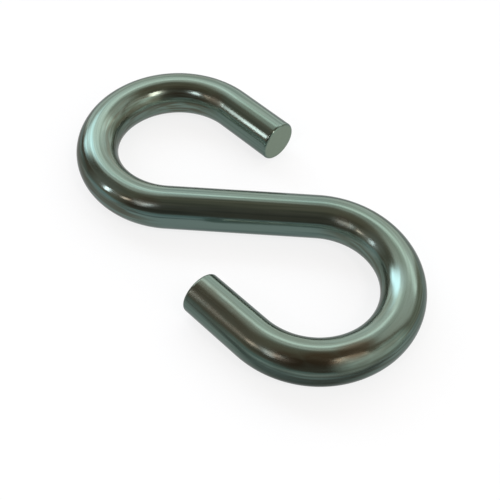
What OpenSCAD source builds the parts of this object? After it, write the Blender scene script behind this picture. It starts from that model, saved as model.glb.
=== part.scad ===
// S hook: one length of round, bright-plated steel rod, bent into two equal open hooks.
// Millimetres, +Z up. The hook lies flat, as it rests on a table: the origin is on the table,
// under the middle of the shank, and +X runs along the load line, from hook A to hook B.

/* [Rod] */
// Diameter of the round rod
rod_d = 6; // [3:0.5:10]
// Radius of the broken edge round each cut end
end_round = 0.4; // [0.1:0.1:1]

/* [Shank] */
// Straight length of the shank, between the two bends
shank_l = 20.8; // [5:0.2:60]

/* [Hooks] */
// Inside diameter of each bend, where a ring or a bar sits
eye_d = 17; // [12:0.5:30]
// Straight length of each tail, from its bend to its cut end
tail_l = 9.7; // [4:0.1:14]

/* [Hidden] */
$fn = 96;

// Radii of the rod, of the inside of a bend and of the bend's centreline
rod_r = rod_d / 2;
eye_r = eye_d / 2;
bend_r = eye_r + rod_r;

// Angle that each bend turns through: past a half turn, so that the tail leans back over the eye
// and leaves a mouth of 8.7 mm. It is six times the angle of a 3-4-5 triangle, whose sine and
// cosine are short decimals, so the tail meets the bend exactly.
bend_a = 6 * atan2(3, 4);

// Angle between the shank and the load line, which joins the centres of the two bends
shank_a = atan2(bend_r, shank_l / 2);

// Surface finish: zinc plate, blue-green grey where it mirrors a room
plate_rgb = [0.45, 0.50, 0.48];

// The shank, along X, centred on the origin
module shank() {
    rotate([0, 90, 0])
        cylinder(h = shank_l, d = rod_d, center = true);
}

// One bend: it begins at the origin, heading along +X, and turns clockwise about [0, -bend_r].
// It is three quarters of a ring, less what lies beyond the tail's joint
module bend() {
    translate([0, -bend_r, 0])
        difference() {
            rotate([0, 0, 180])
                rotate_extrude(angle = 270)
                    translate([bend_r, 0])
                        circle(d = rod_d);
            rotate([0, 0, -bend_a])
                translate([0, 0, -rod_d])
                    cube([2 * bend_r, 2 * bend_r, 2 * rod_d]);
        }
}

// Half the lengthwise section of a tail: its outer corner is rounded
module tail_section() {
    square([rod_r, tail_l - end_round]);
    square([rod_r - end_round, tail_l]);
    translate([rod_r - end_round, tail_l - end_round])
        circle(r = end_round);
}

// One tail: it leaves the origin along +X and ends in a flat cut face
module tail() {
    rotate([0, 90, 0])
        rotate_extrude()
            tail_section();
}

// One hook: a bend and its tail, from the end of the shank
module hook() {
    bend();
    translate([0, -bend_r, 0])
        rotate([0, 0, -bend_a])
            translate([0, bend_r, 0])
                tail();
}

// The whole rod: the second hook is the first, turned half round
module s_hook() {
    color(plate_rgb)
        translate([0, 0, rod_r])
            rotate([0, 0, shank_a]) {
                shank();
                for (side = [0, 180])
                    rotate([0, 0, side])
                        translate([shank_l / 2, 0, 0])
                            hook();
            }
}

s_hook();
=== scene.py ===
import math

import bpy
from mathutils import Matrix, Vector


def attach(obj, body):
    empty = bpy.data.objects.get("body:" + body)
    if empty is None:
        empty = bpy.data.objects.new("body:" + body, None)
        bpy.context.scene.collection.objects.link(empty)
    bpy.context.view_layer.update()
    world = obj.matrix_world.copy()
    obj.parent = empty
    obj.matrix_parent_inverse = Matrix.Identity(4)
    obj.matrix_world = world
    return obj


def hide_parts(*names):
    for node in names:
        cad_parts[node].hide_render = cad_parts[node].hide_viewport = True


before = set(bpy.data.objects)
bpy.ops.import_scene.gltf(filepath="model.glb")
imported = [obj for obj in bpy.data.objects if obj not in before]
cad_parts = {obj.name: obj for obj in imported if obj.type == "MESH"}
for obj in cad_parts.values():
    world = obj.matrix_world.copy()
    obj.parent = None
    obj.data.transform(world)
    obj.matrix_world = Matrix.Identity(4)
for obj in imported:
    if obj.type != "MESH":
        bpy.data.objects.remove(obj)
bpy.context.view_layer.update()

MILLIMETRE = 0.001
DEGREES = 180 / math.pi
X_AXIS = (1.0, 0.0, 0.0)
Y_AXIS = (0.0, 1.0, 0.0)
Z_AXIS = (0.0, 0.0, 1.0)

# Sizes of the hook, in metres, as the CAD part has them
ROD_RADIUS = 0.0030
END_ROUND = 0.0004
SHANK_LENGTH = 0.0208
BEND_RADIUS = 0.0115
BEND_ANGLE = 6 * math.atan2(3, 4)
TAIL_LENGTH = 0.0097
SHANK_TURN = math.atan2(BEND_RADIUS, SHANK_LENGTH / 2)

# Fineness of the visible rod: rows along half its side, round a broken edge and in across a cut
# face, and points round the section
SIDE_ROWS = 264
EDGE_ROWS = 12
FACE_ROWS = 8
SECTION_POINTS = 96
WELD_DISTANCE = 1e-6

# The inputs of the rod's geometry nodes
ROD_SIZES = {
    "Rod Radius": ROD_RADIUS, "End Round": END_ROUND, "Half Shank": SHANK_LENGTH / 2,
    "Bend Radius": BEND_RADIUS, "Bend Angle": BEND_ANGLE, "Tail Length": TAIL_LENGTH,
    "Shank Turn": SHANK_TURN, "Side Rows": SIDE_ROWS, "Edge Rows": EDGE_ROWS,
    "Face Rows": FACE_ROWS, "Section Points": SECTION_POINTS,
}

# How fast the marks of bending come in, as a share for each radian into a bend
BEND_ONSET = 3.0

# Colours of the plate: its tints, its marks, the plate as the hook mirrors itself, and the share
# that it sends back at a grazing angle
PLATE_TEAL = (0.092, 0.136, 0.119)
PLATE_GREEN = (0.097, 0.138, 0.112)
# Painted reflection tints: the next two colour the two sides of the rod's middle, warm and blue,
# as the light each side mirrors
PAINTED_BLUE_SIDE = (0.080, 0.128, 0.122)
PAINTED_WARM_SIDE = (0.108, 0.138, 0.110)
PLATE_DARK = (0.070, 0.100, 0.086)
PLATE_PALE = (0.130, 0.178, 0.156)
PLATE_OLIVE = (0.118, 0.140, 0.095)
PLATE_BROWN = (0.066, 0.058, 0.038)
PLATE_BURNISHED = (0.132, 0.188, 0.172)
PLATE_MIRRORED = (0.45, 0.50, 0.47)
GRAZING_TINT = (0.68, 0.68, 0.68)

# Patterns in the finish: the length of a grain along the rod and its width across it, in
# millimetres, and the detail of the noise. The rub marks start at another place in the noise
DRAW_LINES = (22.0, 0.45, 1.5)
WAVES = (5.0, 2.2, 1.0)
ORANGE_PEEL = (0.9, 0.7, 2.0)
PATCHES = (16.0, 9.0, 1.0)
MOTTLE = (3.2, 1.2, 4.0)
RUB_MARKS = (9.0, 0.50, 2.5)
FINE_RUBS = (4.0, 0.28, 1.5)
RUB_START = 17.2

# The plate's tint changes from teal to green by the patches and the mottle, in these shares and
# over this range of noise. In the middle of the hook a painted reflection tint makes it warm on
# one side of the rod and blue on the other, as the light each side mirrors there, with an edge
# that the patches move, out to this far along the rod in metres
GREEN_SHARES = (0.7, 0.3)
GREEN_NOISE = (0.40, 0.60)
PAINTED_SIDE_TINT = 1.3
SIDE_PATCHES = 2.0
SIDE_REACH = 0.032

# Marks: the share of a mark's colour at its strongest, the noise at which the mark starts, and
# the noise at which it is in full
DARK_LINES = (0.35, 0.54, 0.40)
PALE_LINES = (0.62, 0.42, 0.56)
OLIVE_MOTTLE = (0.32, 0.30, 0.65)
BROWN_RUBS = (0.8, 0.50, 0.58)
FINE_BROWN_RUBS = (0.6, 0.52, 0.60)
FINE_PALE_RUBS = (0.8, 0.50, 0.40)

# The left bend is rubbed more than the right one: shares, and where along the rod, in metres,
# the one changes to the other
RUBBED_LEFT = 0.82
RUBBED_RIGHT = 0.47
RUBBED_CHANGE = (0.0, 0.010)

# Spots on the rod when straight, in millimetres: x, y and z of the middle, length and width. A
# spot fades in between these two distances from its middle, in parts of its length and width
SPOT_EDGE = (1.5, 0.7)
DULL_SPOTS = (
    (42.1, 2.0, 2.2, 2.2, 1.0),
    (38.8, 2.2, 2.1, 2.2, 1.0),
    (-36.7, 2.4, 1.8, 2.2, 1.0),
)
# Spots that are rougher and brown. The brown is painted shade: it dims and warms the lamp
# highlights that fall on these spots, and darkens a band of the right tail
DIMMING_SPOTS = (
    (14.5, -2.0, 2.2, 1.5, 0.9),
    (-12.5, -1.8, 2.4, 1.5, 0.9),
    (50.2, 1.7, 2.4, 1.5, 0.9),
    (-53.0, 2.1, 2.2, 1.5, 0.9),
    (60.5, 1.4, 2.6, 7.0, 1.7),
)
# Dark brown spots on the right bend, where its reflection is dark: painted shade
DARK_REFLECTION_SPOTS = (
    (41.8, 0.7, 2.9, 2.4, 0.9),
    (45.6, 1.2, 2.7, 2.4, 0.9),
    (49.2, 1.7, 2.5, 2.0, 0.8),
)
BURNISHED_SPOTS = (
    (28.7, -1.2, 2.7, 2.4, 1.0),
    (20.5, -2.2, 2.1, 2.4, 1.0),
    (-18.2, -2.0, 2.2, 2.4, 1.0),
)

# How the mottle breaks up the spots: the noise at which a spot starts and is in full. Then how
# brown the spots of painted shade are: those over highlights and those on dark reflections
DULL_NOISE = (0.25, 0.50)
DIMMING_NOISE = (0.20, 0.50)
DARK_REFLECTION_NOISE = (0.15, 0.45)
DIMMING_SHARE = 0.55
DARK_REFLECTION_SHARE = 0.85

# Roughness of the rod's side, and what each pattern or mark adds to it
SIDE_ROUGHNESS = 0.16
MOTTLE_ROUGHNESS = 0.10
LINE_ROUGHNESS = 0.08
SQUEEZED_ROUGHNESS = 0.05
DULL_ROUGHNESS = 0.26
DIMMING_ROUGHNESS = 0.10

# Heights of the patterns in millimetres: on straight rod, and what a bend adds
LINE_HEIGHTS = (0.0015, 0.007)
WAVE_HEIGHTS = (0.012, 0.100)
PEEL_HEIGHTS = (0.001, 0.004)
RUB_HEIGHTS = (0.0, 0.030)

# The cut faces: colours and roughness. Their shear lines: grains for each metre, the detail of
# the noise, the least share of the pale colour and what a line adds to it, and the height of a
# line in millimetres
CUT_DARK = (0.15, 0.19, 0.15)
CUT_PALE = (0.26, 0.33, 0.26)
CUT_ROUGHNESS = 0.5
SHEAR_GRAINS = (2000.0, 1200.0, 9000.0)
SHEAR_DETAIL = 3.0
SHEAR_SHARES = (0.35, 0.3)
SHEAR_HEIGHT = 0.02

# The camera, fitted to the outline of the photographed hook: degrees and metres
CAMERA_AZIMUTH = 50.62
CAMERA_ELEVATION = 52.85
CAMERA_ROLL = 1.47
CAMERA_TARGET = (0.00590, -0.00317, 0.00300)
CAMERA_DISTANCE = 0.11832
CAMERA_LENS = 63.71
CAMERA_NEAREST = 0.005
SENSOR_WIDTH = 36.0

# The floor, in metres. For the camera it is partly white light and partly paint, and over the
# fade it becomes all white
WHITE = (1.0, 1.0, 1.0)
FLOOR_RADIUS = 2.0
FLOOR_PAINT = (0.78, 0.86, 0.91)
FLOOR_GLOW = 0.8
FLOOR_FADE = (0.12, 0.50)

# The floor as the hook mirrors it: its share of white light, and the paint of a painted shadow,
# a band in front of the right bend, the heading of the band and where along that it starts and
# ends
MIRRORED_GLOW = 0.92
FLOOR_SHADOW_PAINT = (0.33, 0.37, 0.39)
SHADOW_HEADING = (0.70, -0.71, 0.0)
SHADOW_START = (0.0215, 0.0270)
SHADOW_END = (0.033, 0.055)

# The flat back wall of the tent: the least share of a direction towards the wall that its
# distances are divided by, and how fast the wall comes in with that share
WALL_LEAST = 0.05
WALL_ONSET = 10.0

# Lamps: azimuth, elevation, width and height as seen from the hook and turn, in degrees, then
# colour and brightness, where 1 is a white surface. Their distance is in metres
LAMP_DISTANCE = 0.45
LAMPS = (
    ("left_lamp", -80, 31, 4, 18, 17, (1.0, 0.90, 0.98), 11.0),
    ("left_front_lamp", -39, 47, 7, 19, 0, (1.0, 0.90, 1.0), 9.8),
    ("low_left_front_lamp", -60, 40, 7, 11, 0, (1.0, 0.68, 0.62), 6.0),
    ("right_front_lamp", 43, 55, 11, 15, 0, (1.0, 0.80, 0.76), 14.0),
)


class Value:
    """An output of a node. Python's arithmetic on it adds Math nodes to its tree."""

    def __init__(self, tree, socket):
        self.tree = tree
        self.socket = socket

    @classmethod
    def node(cls, tree, kind, settings=None, sockets=None, out=0):
        """Adds a node: its settings first, then the values or links of its sockets."""
        made = tree.nodes.new(kind)
        for name, value in (settings or {}).items():
            setattr(made, name, value)
        for name, value in (sockets or {}).items():
            if isinstance(value, Value):
                tree.links.new(value.socket, made.inputs[name])
            else:
                made.inputs[name].default_value = value
        return cls(tree, made.outputs[out] if len(made.outputs) else None)

    def to(self, kind, settings=None, sockets=None, out=0):
        """Adds a node to the tree of this value."""
        return Value.node(self.tree, kind, settings, sockets, out)

    def beside(self, out):
        """Another output of this value's node."""
        return Value(self.tree, self.socket.node.outputs[out])

    def maths(self, operation, *operands):
        return self.to("ShaderNodeMath", {"operation": operation}, dict(enumerate(operands)))

    def __add__(self, other):
        return self.maths("ADD", self, other)

    def __radd__(self, other):
        return self.maths("ADD", other, self)

    def __sub__(self, other):
        return self.maths("SUBTRACT", self, other)

    def __rsub__(self, other):
        return self.maths("SUBTRACT", other, self)

    def __mul__(self, other):
        return self.maths("MULTIPLY", self, other)

    def __rmul__(self, other):
        return self.maths("MULTIPLY", other, self)

    def __truediv__(self, other):
        return self.maths("DIVIDE", self, other)

    def __abs__(self):
        return self.maths("ABSOLUTE", self)

    def at_least(self, other):
        return self.maths("MAXIMUM", self, other)

    def at_most(self, other):
        return self.maths("MINIMUM", self, other)

    def held(self):
        """The value, held between 0 and 1."""
        return self.at_least(0.0).at_most(1.0)

    def between(self, start, end):
        """How far the value is on its way from start to end, held between 0 and 1."""
        return ((self - start) / (end - start)).held()

    def eased(self):
        """The value, held between 0 and 1, with a soft start and end."""
        share = self.held()
        return share * share * (3.0 - 2.0 * share)

    def sin(self):
        return self.maths("SINE", self)

    def cos(self):
        return self.maths("COSINE", self)

    def vector_maths(self, operation, *operands, out=0):
        sockets = dict(enumerate((self, *operands)))
        return self.to("ShaderNodeVectorMath", {"operation": operation}, sockets, out)

    def along(self, direction):
        """How far this vector reaches in a direction."""
        return self.vector_maths("DOT_PRODUCT", direction, out="Value")

    def length(self):
        return self.vector_maths("LENGTH", out="Value")

    def times(self, factors):
        """This vector, each part multiplied by its own factor."""
        return self.vector_maths("MULTIPLY", factors)

    def from_point(self, point, reach):
        """How far this place is from a point, where reach gives the length of one in each part."""
        apart = self.vector_maths("SUBTRACT", point)
        return apart.times(tuple(1.0 / length for length in reach)).length()

    def mixed(self, start, end):
        """The colour that lies this share of the way from start to end."""
        sockets = {0: self, 6: colour(start), 7: colour(end)}
        return self.to("ShaderNodeMix", {"data_type": "RGBA"}, sockets, out=2)

    def noise(self, detail):
        """Noise at this place, from 0 to 1. Its grains are about one unit across."""
        sockets = {"Vector": self, "Scale": 1.0, "Detail": detail}
        return self.to("ShaderNodeTexNoise", None, sockets, "Fac")


def colour(value):
    """A colour for a socket: red, green and blue get an opaque alpha."""
    return (*value, 1.0) if isinstance(value, tuple) else value


def rod_tree():
    """Geometry nodes of the hook: a grid is rolled into a straight rod, and the rod is bent."""
    tree = bpy.data.node_groups.new("bent_rod", "GeometryNodeTree")
    tree.interface.new_socket("Geometry", in_out="OUTPUT", socket_type="NodeSocketGeometry")
    for name, value in ROD_SIZES.items():
        kind = "NodeSocketInt" if isinstance(value, int) else "NodeSocketFloat"
        tree.interface.new_socket(name, in_out="INPUT", socket_type=kind)
    tree.interface.new_socket("Finish", in_out="INPUT", socket_type="NodeSocketMaterial")
    given = tree.nodes.new("NodeGroupInput")
    size = {socket.name: Value(tree, socket) for socket in given.outputs if socket.name}

    def node(kind, settings=None, sockets=None):
        return Value.node(tree, kind, settings, sockets)

    def stored(geometry, name, data_type, value):
        """Keeps a value of each point under a name that the finish reads."""
        settings = {"data_type": data_type, "domain": "POINT"}
        sockets = {"Geometry": geometry, "Name": name, "Value": value}
        return node("GeometryNodeStoreNamedAttribute", settings, sockets)

    # The grid's own X counts rows from the middle of the shank, and its Y is the turn round it
    rows = size["Side Rows"] + size["Edge Rows"] + size["Face Rows"]
    grid = node("GeometryNodeMeshGrid", None, {
        "Size X": 2.0 * rows, "Size Y": 1.0,
        "Vertices X": 2.0 * rows + 1.0, "Vertices Y": size["Section Points"] + 1.0})
    place = node("GeometryNodeInputPosition")
    row = place.along(X_AXIS)
    turn = place.along(Y_AXIS) * math.tau
    half = row.maths("SIGN", row)
    count = abs(row)

    # Half the rod when straight: along its side, round the broken edge, in across the cut face
    bent_length = size["Bend Radius"] * size["Bend Angle"]
    half_length = size["Half Shank"] + bent_length + size["Tail Length"]
    edge_share = ((count - size["Side Rows"]) / size["Edge Rows"]).held()
    face_share = ((count - size["Side Rows"] - size["Edge Rows"]) / size["Face Rows"]).held()
    edge_angle = edge_share * (math.pi / 2)
    side_share = (count / size["Side Rows"]).at_most(1.0)
    along = side_share * (half_length - size["End Round"]) + size["End Round"] * edge_angle.sin()
    side_radius = size["Rod Radius"] - size["End Round"] * (1.0 - edge_angle.cos())
    radius = side_radius * (1.0 - face_share)
    out = radius * turn.sin()
    up = radius * turn.cos()

    # The same half when bent: half the shank, the bend and the tail. The other half is its
    # mirror image through the middle of the shank
    bend = ((along - size["Half Shank"]) / size["Bend Radius"]).at_least(0.0)
    bend = bend.at_most(size["Bend Angle"])
    tail = (along - size["Half Shank"] - bent_length).at_least(0.0)
    x = along.at_most(size["Half Shank"]) + size["Bend Radius"] * bend.sin() + tail * bend.cos()
    y = size["Bend Radius"] * (1.0 - bend.cos()) + tail * bend.sin()
    bent_place = node("ShaderNodeCombineXYZ", None, {
        0: half * x + out * bend.sin(), 1: out * bend.cos() - half * y, 2: up})

    # What the finish reads: the place on the straight rod, how far the point is into a bend,
    # from 1 on its inner side to -1 on its outer side, and whether the rod was cut there
    straight_place = node("ShaderNodeCombineXYZ", None, {0: half * along, 1: out, 2: up})
    before_end = size["Bend Angle"] - bend
    in_bend = (BEND_ONSET * bend).held() * (BEND_ONSET * before_end).held()
    inside = (0.0 - half * turn.sin()) * in_bend
    rod = stored(grid, "straight_place", "FLOAT_VECTOR", straight_place)
    rod = stored(rod, "bend_inside", "FLOAT", inside)
    rod = stored(rod, "cut_face", "FLOAT", (2.0 * edge_share - 1.0).held())

    rod = node("GeometryNodeSetPosition", None, {"Geometry": rod, "Position": bent_place})
    rod = node("GeometryNodeMergeByDistance", None, {"Geometry": rod, "Distance": WELD_DISTANCE})
    turned = node("ShaderNodeCombineXYZ", None, {2: size["Shank Turn"]})
    lifted = node("ShaderNodeCombineXYZ", None, {2: size["Rod Radius"]})
    rod = node("GeometryNodeTransform", None, {
        "Geometry": rod, "Translation": lifted, "Rotation": turned})
    rod = node("GeometryNodeSetShadeSmooth", None, {"Geometry": rod})
    rod = node("GeometryNodeRealizeInstances", None, {"Geometry": rod})
    rod = node("GeometryNodeSetMaterial", None, {"Geometry": rod, "Material": size["Finish"]})
    node("NodeGroupOutput", None, {"Geometry": rod})
    return tree


def bent_rod(finish):
    """The hook as one plain mesh, made by the tree of geometry nodes."""
    maker = bpy.data.objects.new("rod_maker", bpy.data.meshes.new("rod_maker"))
    bpy.context.scene.collection.objects.link(maker)
    modifier = maker.modifiers.new("Bent Rod", "NODES")
    modifier.node_group = rod_tree()
    inputs = {
        item.name: item.identifier
        for item in modifier.node_group.interface.items_tree
        if item.in_out == "INPUT"
    }
    for name, value in {**ROD_SIZES, "Finish": finish}.items():
        modifier[inputs[name]] = value
    evaluated = maker.evaluated_get(bpy.context.evaluated_depsgraph_get())
    mesh = bpy.data.meshes.new_from_object(evaluated)
    mesh.name = "plated_rod"
    bpy.data.objects.remove(maker)
    rod = bpy.data.objects.new("plated_rod", mesh)
    bpy.context.scene.collection.objects.link(rod)
    return rod


def grained(place, length, width, detail, start=0.0):
    """Noise on the straight rod, with grains of this length and width in millimetres."""
    across = 1 / (width * MILLIMETRE)
    grains = place.times((1 / (length * MILLIMETRE), across, across))
    return grains.vector_maths("ADD", (start, start, start)).noise(detail)


def marked(pattern, share, start, full):
    """Share of a mark's colour where its pattern of noise has this value."""
    return share * pattern.between(start, full)


def spots(place, sizes):
    """How far the place is inside the nearest of some soft-edged spots, given in millimetres."""
    share = 0.0
    for size in sizes:
        x, y, z, length, width = (MILLIMETRE * part for part in size)
        apart = place.from_point((x, y, z), (length, width, width))
        share = apart.between(*SPOT_EDGE).at_least(share)
    return share


def plated_steel():
    """Bright zinc plate on steel, with its draw lines, the marks of bending and its cut ends."""
    finish = bpy.data.materials.new("plated_steel")
    finish.use_nodes = True
    tree = finish.node_tree
    tree.nodes.clear()

    def attribute(name, out):
        settings = {"attribute_name": name}
        return Value.node(tree, "ShaderNodeAttribute", settings, None, out)

    place = attribute("straight_place", "Vector")
    bend_inside = attribute("bend_inside", "Fac")
    cut_face = attribute("cut_face", "Fac")
    squeezed = bend_inside.at_least(0.0)
    bent = abs(bend_inside)

    draw_lines = grained(place, *DRAW_LINES)
    waves = grained(place, *WAVES)
    orange_peel = grained(place, *ORANGE_PEEL)
    patches = grained(place, *PATCHES)
    mottle = grained(place, *MOTTLE)
    rub_marks = grained(place, *RUB_MARKS, RUB_START)
    fine_rubs = grained(place, *FINE_RUBS, RUB_START)
    shear_lines = place.times(SHEAR_GRAINS).noise(SHEAR_DETAIL)

    dulled = spots(place, DULL_SPOTS) * mottle.between(*DULL_NOISE)
    reflection_dimmed = spots(place, DIMMING_SPOTS) * mottle.between(*DIMMING_NOISE)
    reflection_darkened = spots(place, DARK_REFLECTION_SPOTS) * mottle.between(*DARK_REFLECTION_NOISE)
    burnished = spots(place, BURNISHED_SPOTS)

    # The tint of the plate, with the painted reflection tint of the two sides of its middle, then
    # its draw lines
    by_patches, by_mottle = GREEN_SHARES
    green = (by_patches * patches + by_mottle * mottle).between(*GREEN_NOISE)
    tint = green.mixed(PLATE_TEAL, PLATE_GREEN)
    lengthwise = place.along(X_AXIS)
    middle = (1.0 - abs(lengthwise) / SIDE_REACH).held()
    side = (place.along(Y_AXIS) / ROD_RADIUS + SIDE_PATCHES * (patches - 0.5)) * middle
    tint = (PAINTED_SIDE_TINT * side).held().mixed(tint, PAINTED_WARM_SIDE)
    tint = (-PAINTED_SIDE_TINT * side).held().mixed(tint, PAINTED_BLUE_SIDE)
    tint = marked(draw_lines, *DARK_LINES).mixed(tint, PLATE_DARK)
    tint = marked(draw_lines, *PALE_LINES).mixed(tint, PLATE_PALE)

    # The marks of bending, the spots, some of them painted shade, and the cut faces
    tint = (squeezed * marked(mottle, *OLIVE_MOTTLE)).mixed(tint, PLATE_OLIVE)
    tint = (bent * marked(fine_rubs, *FINE_PALE_RUBS)).mixed(tint, PLATE_PALE)
    rubbed = (marked(rub_marks, *BROWN_RUBS) + marked(fine_rubs, *FINE_BROWN_RUBS)).held()
    rightward = lengthwise.between(*RUBBED_CHANGE)
    rubbed = bent * rubbed * (RUBBED_LEFT + (RUBBED_RIGHT - RUBBED_LEFT) * rightward)
    # Brown of the rub marks, and painted shade of the spots over highlights and dark reflections
    brown = rubbed.at_least(DIMMING_SHARE * reflection_dimmed).at_least(DARK_REFLECTION_SHARE * reflection_darkened)
    tint = brown.mixed(tint, PLATE_BROWN)
    tint = burnished.mixed(tint, PLATE_BURNISHED)
    least, added = SHEAR_SHARES
    tint = cut_face.mixed(tint, (least + added * shear_lines).mixed(CUT_DARK, CUT_PALE))
    mirrored = Value.node(tree, "ShaderNodeLightPath", None, None, "Is Glossy Ray")
    tint = mirrored.mixed(tint, PLATE_MIRRORED)

    roughness = SIDE_ROUGHNESS + MOTTLE_ROUGHNESS * (mottle - 0.5)
    roughness = roughness + LINE_ROUGHNESS * (draw_lines - 0.5)
    roughness = roughness + SQUEEZED_ROUGHNESS * squeezed
    roughness = roughness + DULL_ROUGHNESS * dulled + DIMMING_ROUGHNESS * reflection_dimmed
    roughness = roughness + cut_face * (CUT_ROUGHNESS - roughness)

    def raised(pattern, on_straight, in_bend):
        """Height of a pattern in millimetres, which grows in a bend."""
        return (on_straight + in_bend * bent) * pattern

    side_height = raised(draw_lines, *LINE_HEIGHTS) + raised(waves, *WAVE_HEIGHTS)
    side_height = side_height + raised(orange_peel, *PEEL_HEIGHTS)
    side_height = side_height + raised(rub_marks, *RUB_HEIGHTS)
    height = side_height + cut_face * (SHEAR_HEIGHT * shear_lines - side_height)
    bump = height.to("ShaderNodeBump", None, {"Height": height, "Distance": MILLIMETRE})

    shader = bump.to("ShaderNodeBsdfPrincipled", None, {
        "Base Color": tint, "Metallic": 1.0, "Roughness": roughness,
        "Specular Tint": colour(GRAZING_TINT), "Normal": bump})
    shader.to("ShaderNodeOutputMaterial", None, {"Surface": shader})
    return finish


def heading(azimuth, elevation=0.0):
    """Direction from the hook. Azimuths are in degrees from the camera's side, to its right."""
    a = math.radians(CAMERA_AZIMUTH + azimuth)
    e = math.radians(elevation)
    return Vector((math.sin(a) * math.cos(e), -math.cos(a) * math.cos(e), math.sin(e)))


def soft_field(across, upward, turn, width, height, softness):
    """Share of a soft-edged field at this place. Across and upward are from its middle."""
    t = math.radians(turn)
    lengthwise = abs(across * math.cos(t) + upward * math.sin(t))
    sideways = abs(upward * math.cos(t) - across * math.sin(t))
    in_width = ((width / 2 - lengthwise) / softness + 0.5).eased()
    in_height = ((height / 2 - sideways) / softness + 0.5).eased()
    return in_width * in_height


def tent_field(direction, azimuth, elevation, turn, width, height, softness):
    """Share of a field of the tent's round part that lies in this direction, in degrees."""
    ahead = direction.along(heading(azimuth))
    aside = direction.along(heading(azimuth + 90.0))
    across = direction.maths("ARCTAN2", aside, ahead) * DEGREES
    rise = direction.along(Z_AXIS)
    upward = rise.maths("ARCSINE", rise) * DEGREES - elevation
    return soft_field(across, upward, turn, width, height, softness)


def tent_cap(direction, azimuth, elevation, width, softness):
    """Share of a round field of the tent that lies in this direction, in degrees."""
    facing = direction.along(heading(azimuth, elevation))
    angle = facing.maths("ARCCOSINE", facing) * DEGREES
    return ((width / 2 - angle) / softness + 0.5).eased()


def wall_field(direction, across, upward, width, height, softness):
    """Share of a field of the tent's flat back wall, in parts of the wall's distance."""
    behind = direction.along(heading(180.0))
    reach = behind.at_least(WALL_LEAST)
    to_side = direction.along(heading(90.0)) / reach - across
    rise = direction.along(Z_AXIS) / reach - upward
    on_wall = (behind * WALL_ONSET).held()
    return on_wall * soft_field(to_side, rise, 0, width, height, softness)


# The tent's top, then its fields, each over those before it: what makes a field, where it is and
# its sizes, in that order, and its light, where 1 is a white surface
TENT_TOP = (0.50, 0.38, 0.29)
TENT_FIELDS = (
    (tent_cap, -5, 25, 90, 44, (0.215, 0.165, 0.135)),
    (tent_field, -105, 34, 0, 44, 56, 14, (0.46, 0.38, 0.32)),
    (tent_field, 60, 14, 0, 62, 62, 10, (1.46, 1.46, 1.36)),
    (tent_field, 61, 28, 8, 34, 28, 5, (2.05, 2.00, 1.88)),
    (tent_field, 162, 16, 0, 125, 100, 12, (1.65, 1.50, 1.42)),
    (wall_field, 0.05, 0.60, 1.9, 1.4, 0.25, (2.28, 2.15, 2.10)),
    (wall_field, 0.10, 0.46, 3.2, 0.14, 0.16, (1.75, 1.70, 1.66)),
    (wall_field, 0.10, 1.12, 3.2, 0.34, 0.14, (3.75, 3.65, 3.60)),
    (tent_field, -141, 33, -36, 40, 14, 10, (5.5, 6.1, 6.7)),
    (tent_field, 108, 10, 0, 44, 30, 14, (0.88, 0.78, 0.66)),
    (tent_field, -47, 0, 0, 146, 20, 9, (0.68, 0.80, 0.81)),
)


def studio_tent():
    """The world: a soft tent, pale behind the hook and dark over the camera, which sees white."""
    world = bpy.data.worlds.new("studio_tent")
    bpy.context.scene.world = world
    world.use_nodes = True
    tree = world.node_tree
    tree.nodes.clear()
    direction = Value.node(tree, "ShaderNodeTexCoord", None, None, "Generated")
    light = TENT_TOP
    for kind, *place, shade in TENT_FIELDS:
        light = kind(direction, *place).mixed(light, shade)
    seen = Value.node(tree, "ShaderNodeLightPath", None, None, "Is Camera Ray")
    light = seen.mixed(light, WHITE)
    background = light.to("ShaderNodeBackground", None, {"Color": light})
    background.to("ShaderNodeOutputWorld", None, {"Surface": background})


def soft_lamp(name, azimuth, elevation, width, height, turn, shade, brightness):
    """An elliptic lamp that faces the hook."""
    light = bpy.data.lights.new(name, "AREA")
    light.shape = "ELLIPSE"
    light.size = 2 * LAMP_DISTANCE * math.tan(math.radians(width / 2))
    light.size_y = 2 * LAMP_DISTANCE * math.tan(math.radians(height / 2))
    light.color = shade
    area = math.pi / 4 * light.size * light.size_y
    light.energy = brightness * math.pi * area
    lamp = bpy.data.objects.new(name, light)
    towards = heading(azimuth, elevation)
    facing = towards.to_track_quat("Z", "Y").to_matrix().to_4x4()
    turned = Matrix.Rotation(math.radians(turn), 4, "Z")
    lamp.matrix_world = Matrix.Translation(towards * LAMP_DISTANCE) @ facing @ turned
    bpy.context.scene.collection.objects.link(lamp)


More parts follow.
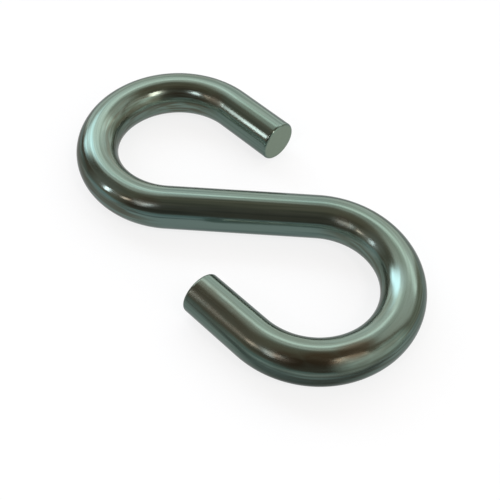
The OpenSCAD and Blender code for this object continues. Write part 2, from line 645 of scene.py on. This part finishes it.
def pale_floor():
    """A plain pale floor, flush with the underside of the hook. It keeps the hook's shadow."""
    mesh = bpy.data.meshes.new("floor")
    r = FLOOR_RADIUS
    mesh.from_pydata([(-r, -r, 0), (r, -r, 0), (r, r, 0), (-r, r, 0)], [], [(0, 1, 2, 3)])
    floor = bpy.data.objects.new("floor", mesh)
    bpy.context.scene.collection.objects.link(floor)
    paint = bpy.data.materials.new("floor_paint")
    paint.use_nodes = True
    tree = paint.node_tree
    tree.nodes.clear()
    place = Value.node(tree, "ShaderNodeTexCoord", None, None, "Object")
    seen = Value.node(tree, "ShaderNodeLightPath", None, None, "Is Camera Ray")
    mirrored = seen.beside("Is Glossy Ray")
    through = seen.beside("Is Transmission Ray")

    # A painted shadow: a band in front of the right bend that only the hook's reflections see
    ahead = place.along(SHADOW_HEADING)
    painted_shadow = ahead.between(*SHADOW_START) * (1.0 - ahead.between(*SHADOW_END))
    shade = (painted_shadow * mirrored).mixed(FLOOR_PAINT, FLOOR_SHADOW_PAINT)
    matte = shade.to("ShaderNodeBsdfDiffuse", None, {"Color": shade})
    white = Value.node(tree, "ShaderNodeEmission", None, {"Color": colour(WHITE)})

    away = place.length().between(*FLOOR_FADE)
    share = (FLOOR_GLOW + (1.0 - FLOOR_GLOW) * away) * seen
    glow = MIRRORED_GLOW * (1.0 - painted_shadow)
    share = share.at_least(glow * mirrored.at_least(through))
    shader = share.to("ShaderNodeMixShader", None, {0: share, 1: matte, 2: white})
    shader.to("ShaderNodeOutputMaterial", None, {"Surface": shader})
    mesh.materials.append(paint)


def camera():
    """The camera, where the photographer's was."""
    data = bpy.data.cameras.new("camera")
    data.sensor_width = SENSOR_WIDTH
    data.lens = CAMERA_LENS
    data.clip_start = CAMERA_NEAREST
    eye = bpy.data.objects.new("camera", data)
    bpy.context.scene.collection.objects.link(eye)
    back = heading(0.0, CAMERA_ELEVATION)
    right = Vector(Z_AXIS).cross(back).normalized()
    up = back.cross(right)
    axes = Matrix((right, up, back)).transposed().to_4x4()
    roll = Matrix.Rotation(math.radians(CAMERA_ROLL), 4, "Z")
    place = Vector(CAMERA_TARGET) + back * CAMERA_DISTANCE
    eye.matrix_world = Matrix.Translation(place) @ axes @ roll
    bpy.context.scene.camera = eye


hook = bent_rod(plated_steel())
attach(hook, "root")
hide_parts("s_hook")
pale_floor()
studio_tent()
for lamp in LAMPS:
    soft_lamp(*lamp)
camera()

scene = bpy.context.scene
scene.view_settings.view_transform = "Standard"
